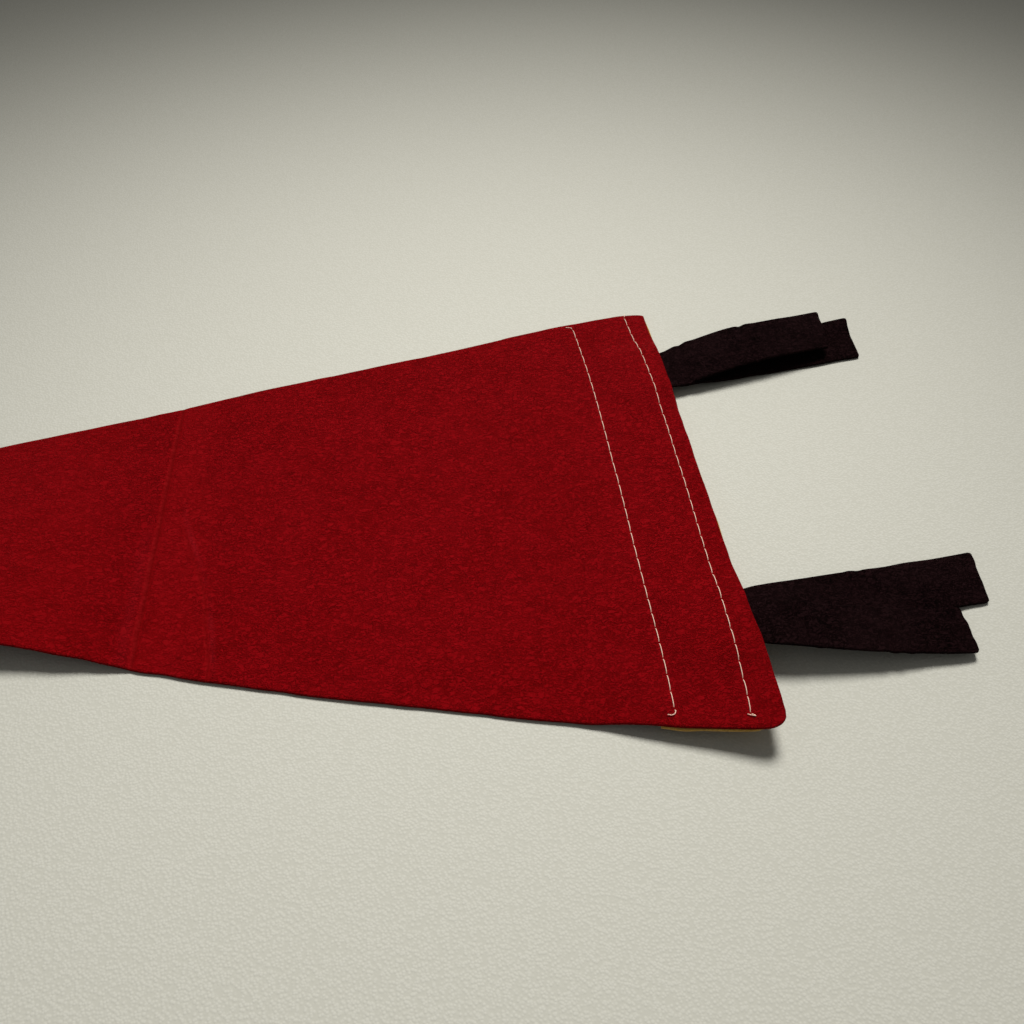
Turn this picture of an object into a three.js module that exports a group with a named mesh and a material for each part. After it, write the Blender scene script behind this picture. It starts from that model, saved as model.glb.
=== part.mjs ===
// A felt pennant lying back side up on a flat surface: a long red triangle of felt,
// a gold header band sewn to its front along the wide end, and two pairs of black
// felt ties caught between the two. Millimetres, +Z up. +X points from the tip to the
// wide (hoist) end, z = 0 is the surface that the pennant lies on.
import * as THREE from 'three';

// ---- driving dimensions ----
const hoistWidth = 203;
const pennantLength = 457;
const feltThickness = 1.2;
const layerGap = 0.25;

const bandWidth = 34;
const bandEdgeInset = 0.6;
const bandFloorGap = 0.9;

const tipWidth = 3;

// the crease that the pointed half folds up along
const creaseDistance = 190;
const creaseGap = 0.4;

const outerSeam = { offset: 6.7, skew: 1.0, endInset: 3 };
const innerSeam = { offset: 29.8, skew: -1.1, endInset: 4 };
const threadDiameter = 0.32;

const tieRootDepth = 20;
const tieRootThickness = 0.9;
// A root ends short of the line that its strip turns about, and the strip starts past it.
const tieRootEnd = 2;
const lowerStart = 6.5;
const upperStart = 15.5;

// The sheet isn't flat: the near hoist corner curls up, and the near side of the
// pointed half stands up as a low hump. Past the crease both long edges run a little
// inside the straight line from the hoist to the tip.
const cornerCurl = 7.1;
const cornerCurlReach = 90;
const cornerCurlPower = 3.2;
const headerRampStart = { near: 58, far: 92 };
const tipHump = 10.2;
const tipNarrowing = 1.7;

// Each tie is two strips. rootY is where a strip leaves the hoist edge and heading is
// its direction in degrees; profile lists the underside as [distance, height].
const ties = [
  { name: 'far_tie', side: 'lower', rootY: 60.6, heading: 9.9, width: 22,
    profile: [[lowerStart, 2.6], [22, 1.1], [44, 0], [84.776, 0]] },
  { name: 'far_tie', side: 'upper', rootY: 59.5, heading: 13.8, width: 21.5,
    profile: [[upperStart, 5.6], [30, 7.2], [48, 7.2], [72.2, 5.4]] },
  { name: 'near_tie', side: 'lower', rootY: -61.4, heading: 8.2, width: 19.8,
    profile: [[lowerStart, 7.2], [26, 4.8], [54, 1.6], [83, 0]] },
  { name: 'near_tie', side: 'upper', rootY: -64.4, heading: -5, width: 17,
    profile: [[upperStart, 8.1], [26, 6.7], [52, 3.6], [69, 2.2]] },
];

// ---- materials ----
const redFelt = new THREE.MeshStandardMaterial({ color: 0x9c0c14, roughness: 0.95, metalness: 0 });
const goldFelt = new THREE.MeshStandardMaterial({ color: 0xd79a1c, roughness: 0.95, metalness: 0 });
const blackFelt = new THREE.MeshStandardMaterial({ color: 0x1c1416, roughness: 0.95, metalness: 0 });
const creamThread = new THREE.MeshStandardMaterial({ color: 0xe9dcc4, roughness: 0.7, metalness: 0 });

// ---- shape of the sheet ----
const tieStack = 2 * (tieRootThickness + layerGap);
const bandTop = bandFloorGap + feltThickness;

function smoothStep(value, low, high) {
  const t = THREE.MathUtils.clamp((value - low) / (high - low), 0, 1);
  return t * t * (3 - 2 * t);
}

function halfWidthAt(x) {
  const inside = tipNarrowing * smoothStep(-x, 145, 200) * (1 - smoothStep(-x, 260, pennantLength));
  return 0.5 * THREE.MathUtils.lerp(tipWidth, hoistWidth, 1 + x / pennantLength) - inside;
}

// side runs from -1 on the near edge to +1 on the far edge
function curlAt(x, side) {
  const alongHoist = Math.max(0, 1 + x / cornerCurlReach);
  return cornerCurl * alongHoist ** cornerCurlPower * ((1 - side) / 2) ** 1.6;
}

function tieBumpAt(x, y) {
  let bump = 0;
  for (const tie of ties) {
    const fromRoot = Math.abs(y - tie.rootY);
    const across = 1 - smoothStep(fromRoot, tie.width / 2 + 3, tie.width / 2 + 10);
    const along = smoothStep(x, -tieRootDepth - 9, -tieRootDepth - 1);
    bump = Math.max(bump, tieStack * across * along);
  }
  return bump;
}

// underside of the red felt, x measured from the hoist edge (0) to the tip (negative)
function fieldUnderside(x, side) {
  const y = side * halfWidthAt(x);
  const rampStart = THREE.MathUtils.lerp(
    headerRampStart.near, headerRampStart.far, smoothStep(side, -0.4, 1));
  const header = (bandTop + layerGap) * smoothStep(x, -rampStart, -bandWidth - 2);
  return header + curlAt(x, side) + tieBumpAt(x, y);
}

function pointUnderside(x, side) {
  const along = (-x - creaseDistance) / (pennantLength - creaseDistance);
  const humpCurve = 6.75 * along * (1 - along) ** 2;
  return tipHump * humpCurve * ((1 - side) / 2) ** 1.3;
}

function bandUnderside(x, side) {
  return bandFloorGap + curlAt(x, side);
}

// A closed sheet of felt: a divided box whose corners are moved to the stations.
function feltSheet(xStations, sideStations, underside, edgeInset = 0) {
  const lastX = xStations.length - 1;
  const lastSide = sideStations.length - 1;
  const sheet = new THREE.BoxGeometry(1, 1, 1, lastX, lastSide, 1);
  const position = sheet.attributes.position;
  for (let i = 0; i < position.count; i += 1) {
    const x = xStations[Math.round((position.getX(i) + 0.5) * lastX)];
    const side = sideStations[Math.round((position.getY(i) + 0.5) * lastSide)];
    const raised = position.getZ(i) > 0 ? feltThickness : 0;
    const y = side * (halfWidthAt(x) - edgeInset);
    position.setXYZ(i, x, y, underside(x, side) + raised);
  }
  sheet.deleteAttribute('uv');
  sheet.computeVertexNormals();
  return sheet;
}

const headerSides = [-1, -0.88, -0.8, -0.74, -0.6, -0.5, -0.45, -0.38, -0.2, 0,
  0.2, 0.36, 0.43, 0.5, 0.6, 0.68, 0.74, 0.81, 0.9, 1];
const headerX = [-bandWidth - 2, -29, -25, -21, -innerSeam.offset / 2, -outerSeam.offset, 0];
const fieldX = [-creaseDistance + creaseGap / 2, -175, -150, -130, -115, -100, -85, -70,
  -headerRampStart.near, -52, -46, -41, ...headerX];
const pointSides = [-1, -0.6, -0.2, 0.3, 1];

const pointSteps = 10;
const pointX = [];
for (let step = pointSteps; step > 0; step -= 1) {
  pointX.push(THREE.MathUtils.lerp(-creaseDistance, -pennantLength, step / pointSteps));
}
pointX.push(-creaseDistance - creaseGap / 2);

const bandX = [-bandWidth, ...headerX.slice(1)];

// ---- ties ----
function headingRadians(tie) {
  return THREE.MathUtils.degToRad(tie.heading);
}

// A strip is its side profile, drawn along the strip and extruded across its width.
function stripGeometry(tie) {
  const outline = new THREE.Shape();
  const lower = tie.profile.map(([distance, height]) => new THREE.Vector2(distance, height));
  const underside = new THREE.SplineCurve(lower).getPoints(12);
  for (const point of underside) {
    point.y = Math.max(point.y, 0);
  }
  const topside = underside.map((point) => new THREE.Vector2(point.x, point.y + feltThickness));
  outline.setFromPoints([...underside, ...topside.reverse()]);
  const strip = new THREE.ExtrudeGeometry(outline, { depth: tie.width, bevelEnabled: false });
  strip.translate(0, 0, -tie.width / 2);
  strip.rotateX(Math.PI / 2);
  return strip;
}

// The root of a strip lies between the band and the red felt, the lower strip first.
function tieRootUnderside(tie, x, y) {
  const layer = tie.side === 'lower' ? 0 : 1;
  const overBand = bandTop + layerGap + layer * (tieRootThickness + layerGap);
  const onSheet = Math.min(x, 0);
  return overBand + curlAt(onSheet, y / halfWidthAt(onSheet));
}

function tieRootGeometry(tie) {
  const length = tieRootDepth + tieRootEnd;
  const root = new THREE.BoxGeometry(length, tie.width - 2, tieRootThickness, 4, 2, 1);
  const position = root.attributes.position;
  for (let i = 0; i < position.count; i += 1) {
    const x = position.getX(i) + tieRootEnd - length / 2;
    const y = position.getY(i) + tie.rootY;
    const raised = position.getZ(i) > 0 ? tieRootThickness : 0;
    position.setXYZ(i, x, y, tieRootUnderside(tie, x, y) + raised);
  }
  root.computeVertexNormals();
  return root;
}

// ---- seams ----
function seamPoints(seam, heightAt) {
  const points = [];
  const reach = 1 - seam.endInset / halfWidthAt(-seam.offset);
  for (const side of headerSides) {
    const held = THREE.MathUtils.clamp(side, -reach, reach);
    const x = -seam.offset + seam.skew * held;
    points.push(new THREE.Vector3(x, held * halfWidthAt(x), heightAt(x, held)));
  }
  return points;
}

// A thread is a round tube along a run of straight pieces from station to station.
function threadGeometry(points) {
  const route = new THREE.CatmullRomCurve3(points, false, 'catmullrom', 0);
  const section = new THREE.Shape();
  section.absarc(0, 0, threadDiameter / 2, 0, 2 * Math.PI);
  return new THREE.ExtrudeGeometry(section, {
    extrudePath: route,
    steps: 3 * (points.length - 1),
    curveSegments: 4,
    bevelEnabled: false,
  });
}

const threadLift = layerGap + threadDiameter / 2;

function backHeight(x, side) {
  return fieldUnderside(x, side) + feltThickness + threadLift;
}

function frontHeight(x, side) {
  return bandUnderside(x, side) - threadLift;
}

// ---- assembly ----
const pennant = new THREE.Group();

function addPiece(name, geometry, material) {
  const piece = new THREE.Mesh(geometry, material);
  piece.name = name;
  pennant.add(piece);
  return piece;
}

addPiece('pennant_field', feltSheet(fieldX, headerSides, fieldUnderside), redFelt);
addPiece('pennant_point', feltSheet(pointX, pointSides, pointUnderside), redFelt);
addPiece('header_band', feltSheet(bandX, headerSides, bandUnderside, bandEdgeInset), goldFelt);

for (const tie of ties) {
  addPiece(`${tie.name}_${tie.side}_root`, tieRootGeometry(tie), blackFelt);
  const strip = addPiece(`${tie.name}_${tie.side}`, stripGeometry(tie), blackFelt);
  strip.position.y = tie.rootY;
  strip.rotation.z = headingRadians(tie);
}

addPiece('outer_seam_thread', threadGeometry(seamPoints(outerSeam, backHeight)), creamThread);
addPiece('inner_seam_thread', threadGeometry(seamPoints(innerSeam, backHeight)), creamThread);
addPiece('outer_seam_front_thread', threadGeometry(seamPoints(outerSeam, frontHeight)), creamThread);
addPiece('inner_seam_front_thread', threadGeometry(seamPoints(innerSeam, frontHeight)), creamThread);

// the origin is under the middle of the whole pennant, ties included
const bounds = new THREE.Box3().setFromObject(pennant, true);
pennant.position.x = -(bounds.min.x + bounds.max.x) / 2;

export default pennant;
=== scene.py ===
import math
import bpy
import numpy as np
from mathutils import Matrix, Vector


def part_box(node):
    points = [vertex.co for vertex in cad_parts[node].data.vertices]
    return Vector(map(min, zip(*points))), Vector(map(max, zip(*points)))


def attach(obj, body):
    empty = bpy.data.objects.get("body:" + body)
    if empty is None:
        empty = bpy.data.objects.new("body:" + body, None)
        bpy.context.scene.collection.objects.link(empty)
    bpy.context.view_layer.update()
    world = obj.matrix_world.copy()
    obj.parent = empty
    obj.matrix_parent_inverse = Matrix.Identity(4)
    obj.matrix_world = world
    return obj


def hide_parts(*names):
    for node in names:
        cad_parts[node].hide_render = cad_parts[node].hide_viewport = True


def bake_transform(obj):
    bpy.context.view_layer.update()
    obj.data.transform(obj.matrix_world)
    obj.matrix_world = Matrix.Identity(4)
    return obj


# A felt pennant lying back side up: red felt, a gold header band under its wide end,
# two pairs of black felt ties caught between them, and two cream seams.
# Lengths are in millimetres from the middle of the hoist edge unless a name says metres:
# x is negative towards the tip, y is positive on the far side, z is up from the floor.

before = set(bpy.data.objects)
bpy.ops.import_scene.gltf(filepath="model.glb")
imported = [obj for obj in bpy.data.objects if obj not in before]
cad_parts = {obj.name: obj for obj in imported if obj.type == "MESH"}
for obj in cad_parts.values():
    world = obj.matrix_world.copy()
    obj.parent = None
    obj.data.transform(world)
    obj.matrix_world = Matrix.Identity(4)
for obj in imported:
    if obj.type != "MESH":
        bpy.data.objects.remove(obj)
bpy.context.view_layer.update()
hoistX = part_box("pennant_field")[1][0]  # the hoist edge in the row frame, metres
mm = 0.001


def toRow(points):
    return np.asarray(points, float) * mm + np.array([hoistX, 0.0, 0.0])


# camera, at three quarters from the near side, close enough that the tip is out of view
cameraSetup = {
    "target": (-68.3, -5.7, 0.0),
    "azimuth": -5.68,
    "elevation": 49.0,
    "distance": 316.2,
    "lens": 31.64,
    "sensor": 36.0,
}


def makeCamera(setup):
    azimuth = math.radians(setup["azimuth"])
    elevation = math.radians(setup["elevation"])
    back = Vector((math.sin(azimuth) * math.cos(elevation),
                   -math.cos(azimuth) * math.cos(elevation),
                   math.sin(elevation)))
    data = bpy.data.cameras.new("camera")
    data.lens = setup["lens"]
    data.sensor_width = setup["sensor"]
    data.clip_start = 0.01
    data.clip_end = 20.0
    camera = bpy.data.objects.new("camera", data)
    target = Vector(toRow(setup["target"]))
    camera.location = target + back * setup["distance"] * mm
    camera.rotation_mode = "QUATERNION"
    camera.rotation_quaternion = (-back).to_track_quat("-Z", "Y")
    bpy.context.collection.objects.link(camera)
    bpy.context.scene.camera = camera


makeCamera(cameraSetup)
print("camera placed")

# the sheet's cut and the way that it lies
pennant = {
    "hoistWidth": 203.0,
    "length": 457.0,
    "tipWidth": 3.0,
    "thickness": 1.2,
    "creaseAt": -190.0,
    "cornerCurl": 7.1,  # the near hoist corner stands up by this much
    "curlReach": 90.0,
    "curlPower": 3.2,
    "farRise": 0.3,
    "farTrim": 1.3,  # the hoist edge is cut this much short at its far end
    "narrowing": 1.7,  # past the crease both long edges run this far inside a straight line
    "nearBow": 0.8,
    "tipHump": 10.2,
    "rampStart": (-58.0, -92.0),  # the felt climbs over the band from here, near and far side
    "rampEnd": -36.0,
    "cornerRadius": 6.5,
    "farDroop": 0.8,  # the far hoist corner is pressed down
    "edgeRound": 0.3,
}
rootThickness = 0.9
layerGap = 0.05


def smooth(value, low, high):
    t = np.clip((np.asarray(value, float) - low) / (high - low), 0.0, 1.0)
    return t * t * (3.0 - 2.0 * t)


def bell(value, spread):
    return np.exp(-(np.asarray(value, float) / spread) ** 2)


def makeNoise(seed, cells=64):
    table = np.random.default_rng(seed).uniform(-1.0, 1.0, (cells, cells))

    def sample(u, v):
        u, v = np.broadcast_arrays(np.asarray(u, float), np.asarray(v, float))
        iu, iv = np.floor(u).astype(int), np.floor(v).astype(int)
        fu, fv = smooth(u - iu, 0, 1), smooth(v - iv, 0, 1)
        a, b = iu % cells, iv % cells
        a1, b1 = (iu + 1) % cells, (iv + 1) % cells
        low = table[a, b] * (1 - fu) + table[a1, b] * fu
        high = table[a, b1] * (1 - fu) + table[a1, b1] * fu
        return low * (1 - fv) + high * fv

    return sample


waves = makeNoise(3)
fineWaves = makeNoise(7)
edgeWander = makeNoise(11)


def halfWidthAt(x):
    p = pennant
    x = np.asarray(x, float)
    share = 1.0 + np.minimum(x, 0.0) / p["length"]
    inside = p["narrowing"] * smooth(-x, 145, 200) * (1.0 - smooth(-x, 260, p["length"]))
    return 0.5 * (p["tipWidth"] + (p["hoistWidth"] - p["tipWidth"]) * share) - inside


def curlAt(x, side):
    p = pennant
    along = np.maximum(0.0, 1.0 + np.minimum(x, 0.0) / p["curlReach"])
    curl = p["cornerCurl"] * along ** p["curlPower"] * (np.clip(1.0 - side, 0.0, 2.2) / 2.0) ** 1.6
    return curl - p["farDroop"] * smooth(side, 0.75, 1.0) * smooth(x, -24, 0)


# Each tie is a pair of strips. profile gives the height of the underside along the strip,
# tilt the extra height of its near edge, bow how far its middle lies to the far side of a
# straight line, and waves its wrinkles as (place, height, spread, slant).
ties = {
    "far_tie_lower": {
        "rootY": 60.6, "heading": 9.9, "width": 22.0, "length": 84.2, "layer": 0, "bow": 0.3,
        "profile": [(0, 2.2), (8, 2.5), (22, 1.2), (44, 0.15), (66, 0.1), (84.2, 0.15)],
        "tilt": [(0, 0.0), (40, 0.0), (84, 0.0)],
        "farLift": 2.6, "endSkew": 2.0, "waves": [(33, 0.25, 4.0, 2.5), (58, 0.2, 5.0, 2.5)],
    },
    "far_tie_upper": {
        "rootY": 59.5, "heading": 13.8, "width": 21.5, "length": 72.2, "layer": 1, "bow": 0.4,
        "profile": [(0, 3.2), (8, 4.3), (20, 6.0), (34, 7.0), (50, 6.6), (72.2, 5.0)],
        "tilt": [(0, 0.0), (30, -0.6), (72, -0.6)],
        "farLift": 0.0, "endSkew": 3.4,
        "waves": [(8.5, -1.1, 1.5, -2.5), (12.0, 0.4, 2.0, -2.0), (37.0, -0.75, 1.3, -1.2),
                  (40, 0.45, 2.2, -1.2)],
    },
    "near_tie_lower": {
        "rootY": -61.4, "heading": 8.2, "width": 19.8, "length": 83.1, "layer": 0, "bow": 0.2,
        "profile": [(0, 7.1), (8, 7.0), (26, 4.8), (54, 1.6), (70, 0.5), (83.1, 0.1)],
        "tilt": [(0, 1.1), (26, 0.7), (55, 0.0), (80, 0.0)],
        "farLift": 0.0, "endSkew": 2.4,
        "waves": [(41, 0.4, 1.4, 1.0), (44.5, -0.4, 1.3, 1.0), (48, 0.25, 1.4, 0.6),
                  (62, 0.3, 4.0, 2.5)],
    },
    "near_tie_upper": {
        "rootY": -64.4, "heading": -5.0, "width": 17.0, "length": 69.2, "layer": 1, "bow": -1.4,
        "profile": [(0, 8.1), (8, 8.3), (26, 6.5), (40, 4.9), (54, 3.1), (69.2, 1.7)],
        "tilt": [(0, 1.1), (26, 1.2), (50, 0.9), (69, 0.4)],
        "farLift": 0.0, "endSkew": -0.3,
        "waves": [(16, -0.95, 1.5, 2.5), (19.5, 0.5, 1.8, 1.5), (23, -0.5, 1.3, -1.5),
                  (38.5, 0.45, 1.2, 0.5), (41.5, -0.6, 1.0, 0.5), (44, 0.45, 1.1, 0.5),
                  (47, -0.45, 1.2, 0.5)],
    },
}
bends = {"lower": 5.5, "upper": 14.5, "reach": 3.0, "split": 11.5}


def tieBump(x, y):
    bump = 0.0
    for tie in ties.values():
        if tie["layer"] == 0:
            half = tie["width"] / 2
            across = 1.0 - smooth(np.abs(y - tie["rootY"] + 0.8), half - 1, half + 12)
            bump = np.maximum(bump, across * smooth(x, -32.0, -19.0))
    return bump * (2 * rootThickness + 2 * layerGap)


seams = {
    "outer": {"ends": (-94.6, 96.5),
              "line": [(-98, -9.2), (-94, -8.8), (-88, -8.2), (-78, -7.9), (-60, -7.5),
                       (-39, -7.1), (-18, -6.8), (6, -6.5), (33, -6.5), (61, -7.6),
                       (80, -8.9), (92, -9.7), (99, -10.2)]},
    "inner": {"ends": (-89.4, 90.2),
              "line": [(-93, -29.5), (-73, -29.2), (-36, -29.5), (7, -29.7), (31, -30.1),
                       (59, -31.0), (89, -33.0), (94, -33.4)]},
    "stitch": 5.64,
    "holeDepth": 0.34,
    "holeSpread": 1.1,
    "grooveDepth": 0.12,
    "grooveSpread": 1.7,
}


def seamX(name, y):
    return splineAt(seams[name]["line"], y) + 0.08 * edgeWander(np.asarray(y, float) / 13.0, len(name))


def stitchHoles(name):
    low, high = seams[name]["ends"]
    count = round((high - low) / seams["stitch"])
    return np.linspace(low, high, count + 1)


def seamPress(x, y):
    press = 0.0
    for name in ("outer", "inner"):
        seam = seams[name]
        holes = stitchHoles(name)
        low, high = seam["ends"]
        away = x - seamX(name, y)
        inside = smooth(y, low - 3, low) * (1 - smooth(y, high, high + 3))
        stitch = holes[1] - holes[0]
        nearest = np.abs((y - holes[0] + stitch / 2) % stitch - stitch / 2)
        press = press + inside * seams["grooveDepth"] * bell(away, seams["grooveSpread"])
        hole = bell(away, seams["holeSpread"]) * bell(nearest, seams["holeSpread"])
        press = press + inside * seams["holeDepth"] * hole
    return press


# the main crease runs across at creaseAt, the second one slants away from it
creases = {
    "wander": 0.5, "depth": 0.5, "spread": 0.8,
    "secondWander": 0.8, "secondDepth": 0.32, "secondSpread": 0.8,
    "secondY": [-90, -58, -31, -9, 6, 30],
    "secondX": [-163, -166.6, -171.0, -179.5, -184, -189],
}


def pastCrease(x, y):
    return x - pennant["creaseAt"] - creases["wander"] * waves(y / 9.0, 2.5)


def pastSecondCrease(x, y):
    line = np.interp(y, creases["secondY"], creases["secondX"])
    return x - line - creases["secondWander"] * waves(y / 7.0, 8.5)


def pennantUnderside(x, side):
    p = pennant
    y = side * halfWidthAt(x)
    nearRamp, farRamp = p["rampStart"]
    rampStart = nearRamp + (farRamp - nearRamp) * smooth(side, -0.4, 1.0)
    header = (band["underside"] + band["thickness"] + layerGap) * smooth(x, rampStart, p["rampEnd"])
    farEdge = p["farRise"] * smooth(side, 0.6, 1.0) * smooth(-x, 50, 90) * (1 - smooth(-x, 150, 190))
    along = np.clip((-x + p["creaseAt"]) / (p["length"] + p["creaseAt"]), 0.0, 1.0)
    hump = p["tipHump"] * 6.75 * along * (1 - along) ** 2 * ((1 - side) / 2) ** 1.3
    gentle = 0.16 * (1 + waves(x / 23.0, y / 31.0 + 9)) * smooth(-x, 44, 70)
    return header + farEdge + curlAt(x, side) + tieBump(x, y) + hump + gentle


def pennantTopDetail(x, side):
    p = pennant
    y = side * halfWidthAt(x)
    c = creases
    away = pastCrease(x, y)
    crease = -c["depth"] * bell(away, c["spread"])
    crease = crease + 0.22 * bell(away + 2.4, 1.3) + 0.1 * bell(away - 2.0, 1.2)
    away = pastSecondCrease(x, y)
    inReach = smooth(-y, -12, 12) * (1 - smooth(-y, 58, 75))
    second = (-c["secondDepth"] * bell(away, c["secondSpread"]) + 0.2 * bell(away - 1.8, 1.1)) * inReach
    crumple = 0.22 * np.abs(fineWaves(x / 2.6 + 3, y / 6.5)) * bell(x - p["creaseAt"] - 12, 13) * inReach
    between = -0.1 * smooth(x, -189, -186) * (1 - smooth(x, -178, -172)) * inReach
    fine = 0.035 * fineWaves(x / 3.1, y / 2.3)
    return crease + second + between + fine - crumple - seamPress(x, y)


def pieceFromArrays(name, points, faces):
    mesh = bpy.data.meshes.new(name)
    mesh.from_pydata([tuple(p) for p in toRow(points)], [], [tuple(f) for f in faces])
    mesh.validate()
    mesh.update()
    mesh.polygons.foreach_set("use_smooth", [True] * len(mesh.polygons))
    piece = bpy.data.objects.new(name, mesh)
    bpy.context.collection.objects.link(piece)
    return piece


# A closed sheet of felt. bottom and top are grids of points; the wall between them
# is rounded by two rings that stand out from the grids' edges.
def feltPiece(name, bottom, top, outline, edgeRound):
    rows, columns = top.shape[:2]
    count = rows * columns
    ring = [(0, j) for j in range(columns)]
    ring += [(i, columns - 1) for i in range(1, rows)]
    ring += [(rows - 1, j) for j in range(columns - 2, -1, -1)]
    ring += [(i, 0) for i in range(rows - 2, 0, -1)]
    ringIndex = np.array([i * columns + j for i, j in ring])
    flatTop, flatBottom = top.reshape(-1, 3), bottom.reshape(-1, 3)
    wallHigh = outline.reshape(-1, 3)[ringIndex].copy()
    wallLow = wallHigh.copy()
    wallHigh[:, 2] = flatTop[ringIndex, 2] - edgeRound
    wallLow[:, 2] = flatBottom[ringIndex, 2] + edgeRound
    points = np.concatenate([flatTop, flatBottom, wallHigh, wallLow])
    faces = []
    grid = np.arange(count).reshape(rows, columns)
    a, b = grid[:-1, :-1].ravel(), grid[1:, :-1].ravel()
    c, d = grid[1:, 1:].ravel(), grid[:-1, 1:].ravel()
    faces += list(zip(a, b, c, d))
    faces += list(zip(d + count, c + count, b + count, a + count))
    size = len(ring)
    high, low = 2 * count, 2 * count + size
    for k in range(size):
        n = (k + 1) % size
        u, v = ringIndex[k], ringIndex[n]
        faces.append((u, v, high + n, high + k))
        faces.append((high + k, high + n, low + n, low + k))
        faces.append((low + k, low + n, v + count, u + count))
    faces = [tuple(int(i) for i in f) for f in faces]
    return pieceFromArrays(name, points, faces)


def stations(*runs):
    values = []
    for low, high, step in runs:
        count = max(1, round((high - low) / step))
        values += list(np.linspace(low, high, count, endpoint=False))
    return np.array(values + [runs[-1][1]])


# where the felt is flattened and darkened, with painted shade in the crease lines and over the tip half,
# and where painted highlight goes on the ridges beside the creases, from 0 to 1
def paintMasks(piece, x, y):
    fromCrease = pastCrease(x, y)
    fromSecond = pastSecondCrease(x, y)
    ragged = 1.5 * fineWaves(x / 4.0, y / 5.0)
    reach = smooth(-y, -30, 5)
    bandEnd = 1 - smooth(x + ragged, -184 + 6 * reach, -168 + 8 * reach)
    # a darker band between the two creases, and painted shade over the tip half past the crease, where
    # the felt's texture is also flatter
    pressed = 0.24 * smooth(x + ragged, -190.5, -188) * bandEnd
    pressed = pressed + 0.2 * (1 - smooth(x + ragged, -215, -192))
    # painted shade in the two crease lines
    pressed = np.maximum(pressed, bell(fromCrease, 0.95))
    pressed = np.maximum(pressed, 0.85 * bell(fromSecond, 0.7) * smooth(-y, -12, 12))
    # darker along the seams
    away = np.minimum(np.abs(x - seamX("outer", y)), np.abs(x - seamX("inner", y)))
    pressed = np.maximum(pressed, 0.3 * bell(away, 1.1))
    # painted highlight on the ridges beside the two creases
    patchy = 0.55 + 0.45 * waves(y / 11.0, 5)
    raised = 0.35 * bell(fromCrease + 3.2, 2.0) * patchy * smooth(-y, -20, 25)
    speckled = smooth(-y, -14, 2) * (0.5 + 0.5 * fineWaves(y / 3.0, 9))
    raised = raised + 0.8 * bell(fromSecond - 1.7 - 0.6 * fineWaves(y / 4.0, 3), 0.7) * speckled
    rows, columns = x.shape
    count = rows * columns
    for label, values in (("pressed", pressed), ("raised", raised)):
        attribute = piece.data.attributes.new(label, "FLOAT", "POINT")
        full = np.zeros(len(piece.data.vertices), dtype=np.float32)
        full[:count] = np.clip(values, 0, 1).ravel()
        attribute.data.foreach_set("value", full)


def makePennant():
    p = pennant
    xs = stations((-457, -206, 6.3), (-206, -162, 0.9), (-162, -64, 3.3), (-64, -37, 1.8),
                  (-37, -24, 0.75), (-24, -12, 1.4), (-12, -1, 0.65), (-1, 0, 0.5))
    sides = np.linspace(-1, 1, 145)
    x, side = np.meshgrid(xs, sides, indexing="ij")
    half = halfWidthAt(x)
    # the two hoist corners are slightly rounded
    fromHoist = -x
    radius = p["cornerRadius"]
    arc = radius - np.sqrt(np.maximum(0, radius ** 2 - (radius - fromHoist) ** 2))
    corner = np.where(fromHoist < radius, arc, 0)
    wander = 0.22 * edgeWander(x / 6.0, 4 + 9 * (side > 0)) * np.abs(side) ** 6
    half = half + p["nearBow"] * bell(x + 100, 60) * smooth(-side, 0.2, 1.0)
    half = half - (0.7 * smooth(x, -50, -20) + 1.6 * smooth(x, -14, 0)) * smooth(side, 0.6, 1.0)
    atCorners = smooth(-side, 0.85, 1.0) + 0.3 * smooth(side, 0.85, 1.0)
    y = side * (half - 0.9 * corner * atCorners) + wander
    trim = (p["farTrim"] * smooth(side, 0.3, 1.0) - 0.9 * bell(side + 0.84, 0.2)) * smooth(x, -6, 0)
    xEdge = x - trim + 0.14 * edgeWander(y / 5.0, 21) * smooth(x, -3, 0)
    under = pennantUnderside(x, side)
    rim = np.minimum(np.minimum(fromHoist, (1 - np.abs(side)) * half), fromHoist + p["length"])
    flatRim = smooth(rim, 0, 1.4)
    detail = pennantTopDetail(x, side) * (0.35 + 0.65 * flatRim)
    upper = under + p["thickness"] + detail - 0.06 * (1 - flatRim)
    outline = np.stack([xEdge, y, under], -1)
    shrink = p["edgeRound"]
    pulled = np.stack([np.clip(xEdge, -p["length"] + shrink, np.where(x >= -1e-6, xEdge - shrink, xEdge)),
                       y - np.sign(side) * shrink * (np.abs(side) > 0.999), under], -1)
    top = pulled.copy()
    top[..., 2] = upper
    bottom = pulled.copy()
    bottom[..., 2] = under
    piece = feltPiece("red_felt", bottom, top, outline, p["edgeRound"])
    paintMasks(piece, x, y)
    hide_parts("pennant_field", "pennant_point")
    return piece


band = {
    "width": 34.0,
    "past": 0.6,  # how far it sticks out past the hoist edge
    "thickness": 1.2,
    "underside": 0.9,
    "edgeRound": 0.28,
}


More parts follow.
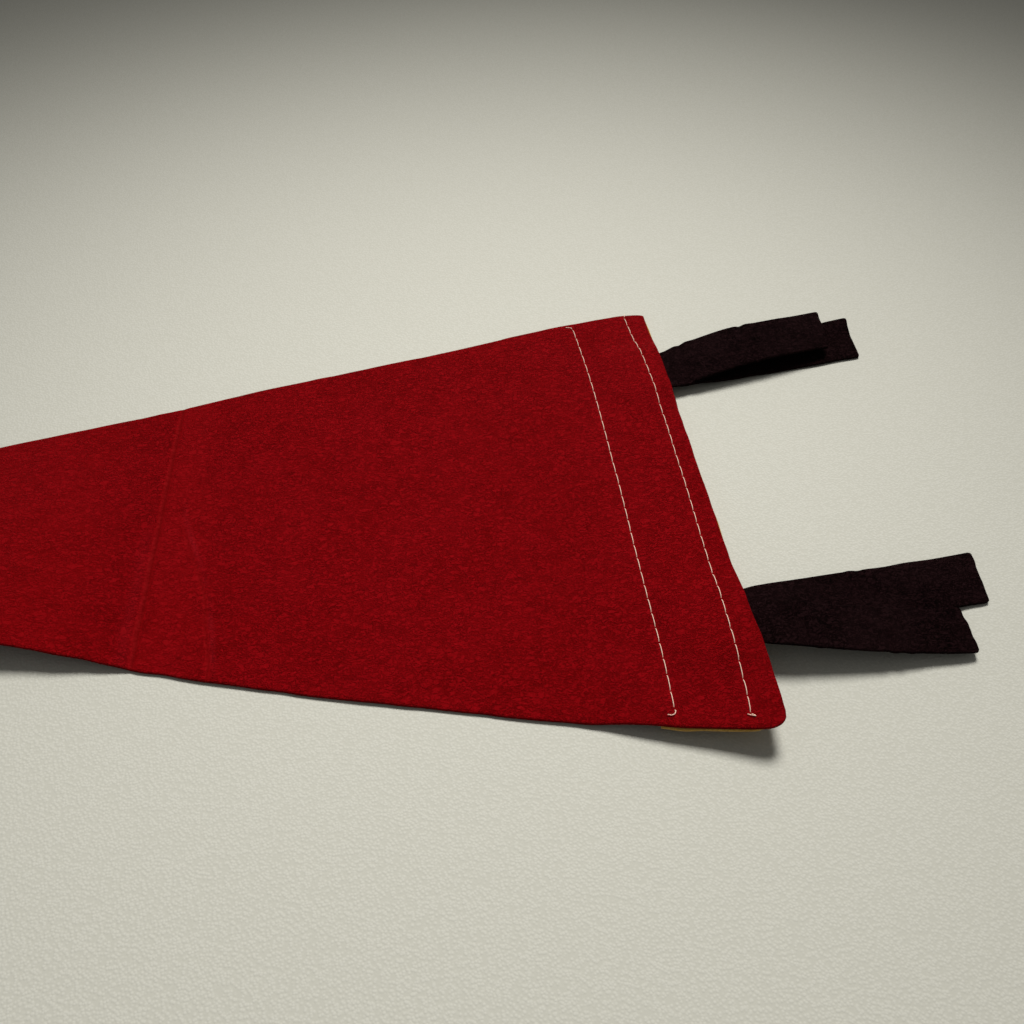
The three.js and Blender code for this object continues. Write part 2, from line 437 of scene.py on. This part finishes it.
def makeBand():
    b = band
    xs = stations((-b["width"], -24, 0.9), (-24, -12, 1.6), (-12, b["past"], 0.9))
    sides = np.linspace(-1, 1, 121)
    x, side = np.meshgrid(xs, sides, indexing="ij")
    endPast = 0.35 + 0.5 * edgeWander(x / 7.0, 31 + 5 * (side > 0))
    atHoist = smooth(x, -9, b["past"])
    pulledIn = 3.6 * atHoist * smooth(-side, 0.9, 1.0) + 2.6 * atHoist * smooth(side, 0.9, 1.0)
    y = side * (halfWidthAt(x) - pulledIn) + np.sign(side) * endPast * np.abs(side) ** 8
    trim = pennant["farTrim"] * smooth(side, 0.3, 1.0) + 1.2 * smooth(-side, 0.75, 0.98)
    xEdge = x + (0.25 * edgeWander(y / 11.0, 43) - 0.15 - trim) * smooth(x, -6, b["past"])
    xEdge = xEdge + 0.3 * edgeWander(y / 9.0, 47) * (1 - smooth(x, -b["width"], -b["width"] + 4))
    under = b["underside"] + curlAt(xEdge, side) + 0.5 * seamPress(xEdge, y)
    upper = b["underside"] + curlAt(xEdge, side) + b["thickness"]
    shrink = b["edgeRound"]
    outline = np.stack([xEdge, y, under], -1)
    ends = np.where(x <= -b["width"] + 1e-6, shrink, 0) - np.where(x >= b["past"] - 1e-6, shrink, 0)
    pulled = np.stack([xEdge + ends, y - np.sign(side) * shrink * (np.abs(side) > 0.999), under], -1)
    top = pulled.copy()
    top[..., 2] = upper
    piece = feltPiece("gold_band", pulled, top, outline, shrink)
    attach(piece, "field")
    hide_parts("header_band")
    return piece


def splineAt(pairs, s):
    knots = np.array(pairs, float)
    slopes = np.gradient(knots[:, 1], knots[:, 0])
    s = np.clip(np.asarray(s, float), knots[0, 0], knots[-1, 0])
    i = np.clip(np.searchsorted(knots[:, 0], s, side="right") - 1, 0, len(knots) - 2)
    width = knots[i + 1, 0] - knots[i, 0]
    t = (s - knots[i, 0]) / width
    h00, h10 = (1 + 2 * t) * (1 - t) ** 2, t * (1 - t) ** 2
    h01, h11 = t * t * (3 - 2 * t), t * t * (t - 1)
    return (h00 * knots[i, 1] + h10 * width * slopes[i]
            + h01 * knots[i + 1, 1] + h11 * width * slopes[i + 1])


# A strip of black felt from low to high along its length. Inside the header it lies
# pressed between the two felts; outside it follows its own profile. An end that meets
# the strip's other half is left square.
def makeStrip(name, tie, low, high, seed):
    heading = math.radians(tie["heading"])
    cosH, sinH = math.cos(heading), math.sin(heading)
    ss = stations((low, high - 1.4, 0.85), (high - 1.4, high, 0.35))
    ts = np.linspace(-1, 1, 27)
    s, side = np.meshgrid(ss, ts, indexing="ij")
    wander = makeNoise(seed)
    freeEnd = high >= tie["length"]
    half = tie["width"] / 2 * (1 - 0.04 * (1 - smooth(s, -2, 6)))
    if freeEnd:
        radius = 1.3
        into = np.clip((s - high + radius) / radius, 0, 1)
        half = half - radius * (1 - np.sqrt(1 - into ** 2)) * 0.8
    share = np.clip(s / tie["length"], 0, 1)
    t = side * half + 0.2 * wander(s / 9.0, 3 + 6 * (side > 0)) * np.abs(side) ** 5
    t = t + 4 * tie["bow"] * share * (1 - share)
    atEnd = smooth(s, tie["length"] - 12, tie["length"]) * freeEnd
    sCut = s + atEnd * (tie["endSkew"] * side + 0.3 * wander(side * 3, 17))
    x = sCut * cosH - t * sinH
    y = tie["rootY"] + sCut * sinH + t * cosH
    sheetX = np.minimum(x, 0)
    pressed = band["underside"] + band["thickness"] + layerGap \
        + tie["layer"] * (rootThickness + layerGap) + curlAt(sheetX, y / halfWidthAt(sheetX))
    free = splineAt(tie["profile"], s) - splineAt(tie["tilt"], s) * side * 0.5
    free = free + tie["farLift"] * smooth(side, 0.1, 1.0) * smooth(s, 52, 84)
    for place, height, spread, slant in tie["waves"]:
        uneven = 0.7 + 0.3 * wander(place, side * 2)
        free = free + height * bell(s - place + slant * side, spread) * uneven
    free = free + 0.12 * wander(s / 8.0, t / 6.0 + 40) * smooth(s, 4, 12)
    free = np.maximum(free, 0.06)
    out = smooth(x, 0.6, 6.5)
    under = pressed * (1 - out) + free * out
    thickness = rootThickness + (pennant["thickness"] - rootThickness) * smooth(x, 1, 5)
    shrink = 0.28
    ends = (s <= low + 1e-6) * shrink * (low < 0) - (s >= high - 1e-6) * shrink * freeEnd
    inner = (np.abs(side) > 0.999) * shrink * np.sign(side)
    outline = np.stack([x, y, under], -1)
    pulled = np.stack([x + ends * cosH + inner * sinH, y + ends * sinH - inner * cosH, under], -1)
    top = pulled.copy()
    top[..., 2] = under + thickness
    piece = feltPiece(name, pulled, top, outline, shrink)
    if low > 0 or not freeEnd:
        squareEnds(piece, tie, low if low > 0 else high)
    return piece


# keeps the shading of a strip's faces apart from its cut end's
def squareEnds(piece, tie, place):
    heading = math.radians(tie["heading"])
    co = np.empty(len(piece.data.vertices) * 3)
    piece.data.vertices.foreach_get("co", co)
    local = (co.reshape(-1, 3) - toRow((0, tie["rootY"], 0))) / mm
    along = local[:, 0] * math.cos(heading) + local[:, 1] * math.sin(heading)
    atCut = np.abs(along - place) < 0.05
    ends = np.empty(len(piece.data.edges) * 2, dtype=np.int32)
    piece.data.edges.foreach_get("vertices", ends)
    pairs = ends.reshape(-1, 2)
    sharp = piece.data.attributes.new("sharp_edge", "BOOLEAN", "EDGE")
    sharp.data.foreach_set("value", atCut[pairs[:, 0]] & atCut[pairs[:, 1]])


def makeTies():
    made = []
    for index, (name, tie) in enumerate(ties.items()):
        if tie["layer"] == 0:
            strip = makeStrip(name + "_felt", tie, -20.0, tie["length"], 50 + index)
            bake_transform(strip)
            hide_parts(name + "_root", name)
            made.append(strip)
            continue
        base = makeStrip(name + "_base", tie, -20.0, bends["split"], 50 + index)
        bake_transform(base)
        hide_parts(name + "_root")
        strip = makeStrip(name + "_felt", tie, bends["split"], tie["length"], 50 + index)
        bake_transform(strip)
        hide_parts(name)
        made += [base, strip]
    return made


thread = {"diameter": 0.3, "lobes": 0.24, "twist": 1.7, "sink": 0.3}


# A two-ply thread swept along a run of points.
def threadPiece(name, path):
    step = np.gradient(path, axis=0)
    step /= np.linalg.norm(step, axis=1)[:, None]
    up = np.tile([0.0, 0.0, 1.0], (len(path), 1))
    across = np.cross(step, up)
    across /= np.maximum(np.linalg.norm(across, axis=1), 1e-6)[:, None]
    up = np.cross(across, step)
    travelled = np.concatenate([[0], np.cumsum(np.linalg.norm(np.diff(path, axis=0), axis=1))])
    corners = 8
    angles = np.arange(corners) / corners * 2 * math.pi
    turn = travelled / thread["twist"] * 2 * math.pi
    plies = np.cos(2 * (angles[None, :] - turn[:, None])) - 0.6
    radius = thread["diameter"] / 2 * (1 + thread["lobes"] * plies)
    outward = np.cos(angles)[None, :, None] * across[:, None, :]
    outward = outward + np.sin(angles)[None, :, None] * up[:, None, :]
    points = path[:, None, :] + radius[..., None] * outward
    rows = len(path)
    faces = []
    for i in range(rows - 1):
        for j in range(corners):
            n = (j + 1) % corners
            here, following = i * corners, (i + 1) * corners
            faces.append((here + j, here + n, following + n, following + j))
    faces.append(tuple(range(corners - 1, -1, -1)))
    faces.append(tuple((rows - 1) * corners + j for j in range(corners)))
    return pieceFromArrays(name, points.reshape(-1, 3), faces)


def backSurface(x, y):
    side = y / halfWidthAt(x)
    return pennantUnderside(x, side) + pennant["thickness"] + pennantTopDetail(x, side)


def frontSurface(x, y):
    return band["underside"] + curlAt(x, y / halfWidthAt(x))


tails = {
    "outer": {"near": [(-8.5, -95.4), (-7.9, -96.2), (-10.0, -95.0)], "far": [(-9.4, 98.2)]},
    "inner": {"near": [(-29.3, -90.5), (-29.8, -91.6), (-30.8, -91.9), (-31.9, -91.5)],
              "far": [(-33.7, 90.9), (-36.0, 91.1)]},
}


def makeSeam(name, onBack):
    holes = stitchHoles(name)
    radius = thread["diameter"] / 2
    samples = 14 if onBack else 8
    path = []
    for i in range(len(holes) - 1):
        for k in range(samples):
            f = k / samples
            y = holes[i] + (holes[i + 1] - holes[i]) * f
            arch = min(1.0, 6.0 * f * (1 - f)) ** 0.6
            path.append((float(seamX(name, y)), y, arch))
    y = holes[-1]
    path.append((float(seamX(name, y)), y, 0.0))
    path = np.array(path)
    surface = backSurface if onBack else frontSurface
    height = surface(path[:, 0], path[:, 1])
    over = (radius + 0.03) * path[:, 2] - thread["sink"] * (1 - path[:, 2])
    if not onBack:
        path[:, 2] = height - over
    else:
        # between its holes the thread spans the puckers
        path[:, 2] = height + over + 0.1 * path[:, 2]
        parts = []
        for end, points in tails[name].items():
            knots = np.array([(px, py, 0.0) for px, py in points])
            start = path[0] if end == "near" else path[-1]
            knots = np.vstack([start, knots])
            t = np.linspace(0, len(knots) - 1, 8 * len(knots))
            curve = np.stack([np.interp(t, range(len(knots)), knots[:, axis]) for axis in range(3)], -1)
            for _ in range(3):
                curve[1:-1] = (curve[:-2] + 2 * curve[1:-1] + curve[2:]) / 4
            rise = smooth(np.linspace(0, 1, len(curve)), 0, 0.35)
            felt = backSurface(curve[:, 0], curve[:, 1])
            curve[:, 2] = felt + rise * (radius + 0.25) - 0.3 * (1 - rise)
            parts.append((end, curve[1:]))
        for end, curve in parts:
            path = np.vstack([curve[::-1], path]) if end == "near" else np.vstack([path, curve])
    nodeName = name + ("_seam_thread" if onBack else "_seam_front_thread")
    piece = threadPiece(name + ("_seam_stitches" if onBack else "_seam_front_stitches"), path)
    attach(piece, "field")
    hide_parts(nodeName)
    return piece


# Node groups: felt is used by three materials, the floor has a group of its own.
def newGroup(name, inputs, outputs):
    group = bpy.data.node_groups.new(name, "ShaderNodeTree")
    for label, kind, value in inputs:
        socket = group.interface.new_socket(label, in_out="INPUT", socket_type=kind)
        if value is not None:
            socket.default_value = value
    for label, kind in outputs:
        group.interface.new_socket(label, in_out="OUTPUT", socket_type=kind)
    return group, group.nodes.new("NodeGroupInput"), group.nodes.new("NodeGroupOutput")


def addNode(tree, kind, settings=None, **inputs):
    node = tree.nodes.new(kind)
    for key, value in (settings or {}).items():
        setattr(node, key, value)
    for key, value in inputs.items():
        label = key.replace("_", " ")
        numbered = key[0] == "i" and key[1:].isdigit()  # i0, i1: the node's inputs by place
        target = node.inputs[int(key[1:])] if numbered else node.inputs[label]
        if isinstance(value, bpy.types.NodeSocket):
            tree.links.new(value, target)
        else:
            target.default_value = value
    return node


def mathNode(tree, operation, first, second=None, clamp=False):
    node = addNode(tree, "ShaderNodeMath", {"operation": operation, "use_clamp": clamp}, i0=first)
    if second is not None:
        if isinstance(second, bpy.types.NodeSocket):
            tree.links.new(second, node.inputs[1])
        else:
            node.inputs[1].default_value = second
    return node.outputs[0]


def remap(tree, value, low, high, toLow=0.0, toHigh=1.0):
    node = addNode(tree, "ShaderNodeMapRange", {"interpolation_type": "SMOOTHSTEP"}, Value=value,
                   From_Min=low, From_Max=high, To_Min=toLow, To_Max=toHigh)
    return node.outputs["Result"]


def mixColour(tree, factor, a, b, blend="MIX"):
    node = tree.nodes.new("ShaderNodeMix")
    node.data_type = "RGBA"
    node.blend_type = blend
    for target, value in ((node.inputs[0], factor), (node.inputs[6], a), (node.inputs[7], b)):
        if isinstance(value, bpy.types.NodeSocket):
            tree.links.new(value, target)
        else:
            target.default_value = value
    return node.outputs[2]


def makeFeltGroup():
    group, entry, leave = newGroup(
        "pressedFelt",
        [("Coordinate", "NodeSocketVector", None), ("Size", "NodeSocketFloat", 1.0),
         ("Fibre Colour", "NodeSocketColor", None), ("Pit Shade Colour", "NodeSocketColor", None),
         ("Worn And Highlight Colour", "NodeSocketColor", None), ("Pit Shade Amount", "NodeSocketFloat", 0.5)],
        [("Colour", "NodeSocketColor"), ("Height", "NodeSocketFloat")])
    size = entry.outputs["Size"]
    toMillimetres = addNode(group, "ShaderNodeVectorMath", {"operation": "SCALE"}, Scale=1000.0)
    group.links.new(entry.outputs["Coordinate"], toMillimetres.inputs[0])
    place = toMillimetres.outputs[0]
    warp = addNode(group, "ShaderNodeTexNoise", Vector=place, Scale=0.55, Detail=2.0, Roughness=0.6)
    warpOff = addNode(group, "ShaderNodeVectorMath", {"operation": "SUBTRACT"},
                      i0=warp.outputs["Color"])
    warpOff.inputs[1].default_value = (0.5, 0.5, 0.5)
    warpScaled = addNode(group, "ShaderNodeVectorMath", {"operation": "SCALE"},
                         i0=warpOff.outputs[0], Scale=1.6)
    warped = addNode(group, "ShaderNodeVectorMath", {"operation": "ADD"},
                     i0=place, i1=warpScaled.outputs[0])
    squash = addNode(group, "ShaderNodeMapping", Vector=warped.outputs[0])
    squash.inputs["Rotation"].default_value = (0.0, 0.0, 0.12)
    squash.inputs["Scale"].default_value = (0.72, 1.3, 1.0)
    pitScale = mathNode(group, "DIVIDE", 0.58, size)
    pits = addNode(group, "ShaderNodeTexNoise", Vector=squash.outputs[0], Scale=pitScale, Detail=2.5,
                   Roughness=0.62, Distortion=1.1)
    # thin winding lines where the noise passes through its middle value
    fromMiddle = mathNode(group, "ABSOLUTE", mathNode(group, "SUBTRACT", pits.outputs[0], 0.5))
    pitMask = remap(group, fromMiddle, 0.0, 0.085, 1.0, 0.0)
    clump = addNode(group, "ShaderNodeTexNoise", Vector=place, Scale=0.16, Detail=3.0, Roughness=0.6)
    clumpMask = remap(group, clump.outputs[0], 0.3, 0.72)
    broad = addNode(group, "ShaderNodeTexNoise", Vector=place, Scale=0.035, Detail=2.0)
    broadMask = remap(group, broad.outputs[0], 0.35, 0.68)
    fibres = addNode(group, "ShaderNodeTexNoise", Vector=warped.outputs[0], Scale=4.2,
                     Detail=3.0, Roughness=0.7)
    fibreMask = remap(group, fibres.outputs[0], 0.32, 0.68)
    depth = mathNode(group, "MULTIPLY", pitMask, remap(group, clumpMask, 0.0, 1.0, 0.7, 1.0))
    # painted shade in the pits: the colour darkens towards the pit colour along the winding lines
    pitShadeFactor = mathNode(group, "MULTIPLY", depth, entry.outputs["Pit Shade Amount"])
    base = mixColour(group, pitShadeFactor, entry.outputs["Fibre Colour"], entry.outputs["Pit Shade Colour"])
    lighter = mathNode(group, "MULTIPLY", broadMask, 0.15)
    wornAndHighlight = mixColour(group, lighter, base, entry.outputs["Worn And Highlight Colour"])
    # painted highlight: the raised fibres between the pits are lightened towards the worn colour, which
    # also gives the broad worn patches
    raisedParts = mathNode(group, "MULTIPLY", fibreMask, mathNode(group, "SUBTRACT", 1.0, depth))
    fibreHighlight = mathNode(group, "MULTIPLY", raisedParts, 0.6)
    final = mixColour(group, fibreHighlight, wornAndHighlight, entry.outputs["Worn And Highlight Colour"])
    group.links.new(final, leave.inputs["Colour"])
    raised = mathNode(group, "SUBTRACT", mathNode(group, "MULTIPLY", fibreMask, 0.35), depth)
    height = mathNode(group, "ADD", raised, mathNode(group, "MULTIPLY", clumpMask, 0.2))
    group.links.new(height, leave.inputs["Height"])
    return group


def makeGrainGroup():
    group, entry, leave = newGroup(
        "pebbleGrain",
        [("Coordinate", "NodeSocketVector", None), ("Size", "NodeSocketFloat", 1.0)],
        [("Grain", "NodeSocketFloat"), ("Cloud", "NodeSocketFloat")])
    toMillimetres = addNode(group, "ShaderNodeVectorMath", {"operation": "SCALE"}, Scale=1000.0)
    group.links.new(entry.outputs["Coordinate"], toMillimetres.inputs[0])
    place = toMillimetres.outputs[0]
    cells = addNode(group, "ShaderNodeTexVoronoi", {"feature": "SMOOTH_F1"}, Vector=place,
                    Scale=mathNode(group, "DIVIDE", 0.8, entry.outputs["Size"]), Smoothness=0.6)
    grain = remap(group, cells.outputs["Distance"], 0.1, 0.75)
    cloud = addNode(group, "ShaderNodeTexNoise", Vector=place, Scale=0.02, Detail=2.0)
    group.links.new(grain, leave.inputs["Grain"])
    group.links.new(cloud.outputs[0], leave.inputs["Cloud"])
    return group


feltGroup = makeFeltGroup()
grainGroup = makeGrainGroup()

# Colours are linear. depth is the height of the fibres' bump in metres. The pit colour is painted shade
# in the felt's pits;
# the worn colour gives worn patches and painted highlight on the raised fibres. The flattened colour
# darkens flattened felt, with painted shade in the crease lines and over the tip half, and the lifted
# colour is painted highlight on the crease ridges;
# both colour the red felt where paintMasks says so.
finishes = {
    "red_felt": {
        "fibre": (0.178, 0.0004, 0.0014), "pitShade": (0.112, 0.0, 0.0003), "wornAndHighlight": (0.235, 0.002, 0.005),
        "flattenedAndShaded": (0.105, 0.0, 0.0004), "ridgeHighlight": (0.225, 0.004, 0.007),
        "pitShadeAmount": 0.7, "size": 1.0, "bump": 1.0, "depth": 0.0004,
        "sheen": 0.02, "sheenTint": (1.0, 0.02, 0.04), "gloss": 0.02,
    },
    "gold_felt": {
        "fibre": (0.42, 0.24, 0.05), "pitShade": (0.24, 0.12, 0.02), "wornAndHighlight": (0.5, 0.32, 0.1),
        "pitShadeAmount": 0.7, "size": 1.0, "bump": 0.6, "depth": 0.0002,
        "sheen": 0.1, "sheenTint": (1.0, 0.9, 0.7), "gloss": 0.03,
    },
    "black_felt": {
        "fibre": (0.005, 0.0012, 0.0016), "pitShade": (0.0006, 0.0, 0.0), "wornAndHighlight": (0.023, 0.0095, 0.0105),
        "pitShadeAmount": 1.0, "size": 1.0, "bump": 1.0, "depth": 0.00055,
        "sheen": 0.0, "sheenTint": (1.0, 0.8, 0.75), "gloss": 0.01,
    },
}


def makeFelt(name, finish):
    material = bpy.data.materials.new(name)
    material.use_nodes = True
    tree = material.node_tree
    shader = tree.nodes["Principled BSDF"]
    coordinate = tree.nodes.new("ShaderNodeTexCoord")
    felt = tree.nodes.new("ShaderNodeGroup")
    felt.node_tree = feltGroup
    tree.links.new(coordinate.outputs["Object"], felt.inputs["Coordinate"])
    felt.inputs["Size"].default_value = finish["size"]
    felt.inputs["Fibre Colour"].default_value = (*finish["fibre"], 1.0)
    felt.inputs["Pit Shade Colour"].default_value = (*finish["pitShade"], 1.0)
    felt.inputs["Worn And Highlight Colour"].default_value = (*finish["wornAndHighlight"], 1.0)
    felt.inputs["Pit Shade Amount"].default_value = finish["pitShadeAmount"]
    colour, height = felt.outputs["Colour"], felt.outputs["Height"]
    if "flattenedAndShaded" in finish:
        pressed, raised = [
            addNode(tree, "ShaderNodeAttribute", {"attribute_name": label}).outputs["Fac"]
            for label in ("pressed", "raised")]
        # painted shade and highlight: the flattened colour darkens the crease lines, the seams, the band
        # between the creases and the tip half, and the lifted colour lightens the ridges beside the
        # creases
        colour = mixColour(tree, pressed, colour, (*finish["flattenedAndShaded"], 1.0))
        colour = mixColour(tree, raised, colour, (*finish["ridgeHighlight"], 1.0))
        height = mathNode(tree, "MULTIPLY", height, remap(tree, pressed, 0.0, 0.4, 1.0, 0.3))
    tree.links.new(colour, shader.inputs["Base Color"])
    bump = addNode(tree, "ShaderNodeBump", Strength=finish["bump"], Distance=finish["depth"],
                   Height=height)
    tree.links.new(bump.outputs["Normal"], shader.inputs["Normal"])
    shader.inputs["Roughness"].default_value = 0.6
    shader.inputs["Specular IOR Level"].default_value = finish["gloss"]
    shader.inputs["Sheen Weight"].default_value = finish["sheen"]
    shader.inputs["Sheen Roughness"].default_value = 0.5
    shader.inputs["Sheen Tint"].default_value = (*finish["sheenTint"], 1.0)
    return material


threadFinish = {
    "dark": (0.56, 0.33, 0.25), "light": (0.8, 0.55, 0.44), "fibres": 2600.0,
    "bump": 0.4, "depth": 0.00004, "roughness": 0.62, "sheen": 0.15,
}


def makeThreadFinish():
    finish = threadFinish
    material = bpy.data.materials.new("creamThread")
    material.use_nodes = True
    tree = material.node_tree
    shader = tree.nodes["Principled BSDF"]
    coordinate = tree.nodes.new("ShaderNodeTexCoord")
    noise = addNode(tree, "ShaderNodeTexNoise", Vector=coordinate.outputs["Object"],
                    Scale=finish["fibres"], Detail=2.0)
    colour = mixColour(tree, noise.outputs[0], (*finish["dark"], 1.0), (*finish["light"], 1.0))
    tree.links.new(colour, shader.inputs["Base Color"])
    bump = addNode(tree, "ShaderNodeBump", Strength=finish["bump"], Distance=finish["depth"],
                   Height=noise.outputs[0])
    tree.links.new(bump.outputs["Normal"], shader.inputs["Normal"])
    shader.inputs["Roughness"].default_value = finish["roughness"]
    shader.inputs["Sheen Weight"].default_value = finish["sheen"]
    return material


floorSetup = {
    "size": 3.0, "below": 0.0001,  # metres
    "colour": (0.445, 0.44, 0.392), "dark": (0.41, 0.405, 0.356), "grain": 0.62,
    "bump": 0.6, "depth": 0.0001, "roughness": 0.8, "gloss": 0.12,
}


def makeFloor():
    half = floorSetup["size"] / 2
    mesh = bpy.data.meshes.new("floor")
    corners = [(-half, -half, 0), (half, -half, 0), (half, half, 0), (-half, half, 0)]
    mesh.from_pydata(corners, [], [(0, 1, 2, 3)])
    floor = bpy.data.objects.new("floor", mesh)
    floor.location.z = -floorSetup["below"]
    bpy.context.collection.objects.link(floor)
    material = bpy.data.materials.new("paleTable")
    material.use_nodes = True
    tree = material.node_tree
    shader = tree.nodes["Principled BSDF"]
    coordinate = tree.nodes.new("ShaderNodeTexCoord")
    grain = tree.nodes.new("ShaderNodeGroup")
    grain.node_tree = grainGroup
    grain.inputs["Size"].default_value = floorSetup["grain"]
    tree.links.new(coordinate.outputs["Object"], grain.inputs["Coordinate"])
    colour = mixColour(tree, grain.outputs["Grain"],
                       (*floorSetup["colour"], 1.0), (*floorSetup["dark"], 1.0))
    tree.links.new(colour, shader.inputs["Base Color"])
    bump = addNode(tree, "ShaderNodeBump", Strength=floorSetup["bump"],
                   Distance=floorSetup["depth"], Height=grain.outputs["Grain"])
    bump.invert = True
    tree.links.new(bump.outputs["Normal"], shader.inputs["Normal"])
    shader.inputs["Roughness"].default_value = floorSetup["roughness"]
    shader.inputs["Specular IOR Level"].default_value = floorSetup["gloss"]
    floor.data.materials.append(material)


# one soft window behind and to the right, in a dim room; places in metres
window = {
    "place": (0.34, 0.62, 1.06), "aim": (0.08, -0.06, 0.0), "size": 0.42, "spread": 49.0,
    "power": 2.27, "colour": (1.0, 0.985, 0.95),
}
room = {"colour": (1.0, 0.99, 0.96), "strength": 0.2}


def makeLights():
    data = bpy.data.lights.new("window", "AREA")
    data.shape = "SQUARE"
    data.size = window["size"]
    data.energy = window["power"]
    data.color = window["colour"]
    data.spread = math.radians(window["spread"])
    lamp = bpy.data.objects.new("window", data)
    lamp.location = window["place"]
    lamp.rotation_mode = "QUATERNION"
    towards = Vector(window["aim"]) - lamp.location
    lamp.rotation_quaternion = towards.to_track_quat("-Z", "Y")
    bpy.context.collection.objects.link(lamp)
    world = bpy.data.worlds.new("room")
    world.use_nodes = True
    background = world.node_tree.nodes["Background"]
    background.inputs["Color"].default_value = (*room["colour"], 1.0)
    background.inputs["Strength"].default_value = room["strength"]
    bpy.context.scene.world = world
    bpy.context.scene.view_settings.view_transform = "Standard"


redFelt = makeFelt("redFelt", finishes["red_felt"])
goldFelt = makeFelt("goldFelt", finishes["gold_felt"])
blackFelt = makeFelt("blackFelt", finishes["black_felt"])
creamThread = makeThreadFinish()
print("finishes made")

makeFloor()
makeLights()
print("floor and lights placed")

redPiece = makePennant()
redPiece.data.materials.append(redFelt)
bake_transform(redPiece)
print("red felt cut and laid")

makeBand().data.materials.append(goldFelt)
print("gold band made")

for strip in makeTies():
    strip.data.materials.append(blackFelt)
print("ties made")

for seamName in ("outer", "inner"):
    for onBack in (True, False):
        makeSeam(seamName, onBack).data.materials.append(creamThread)
print("seams sewn")
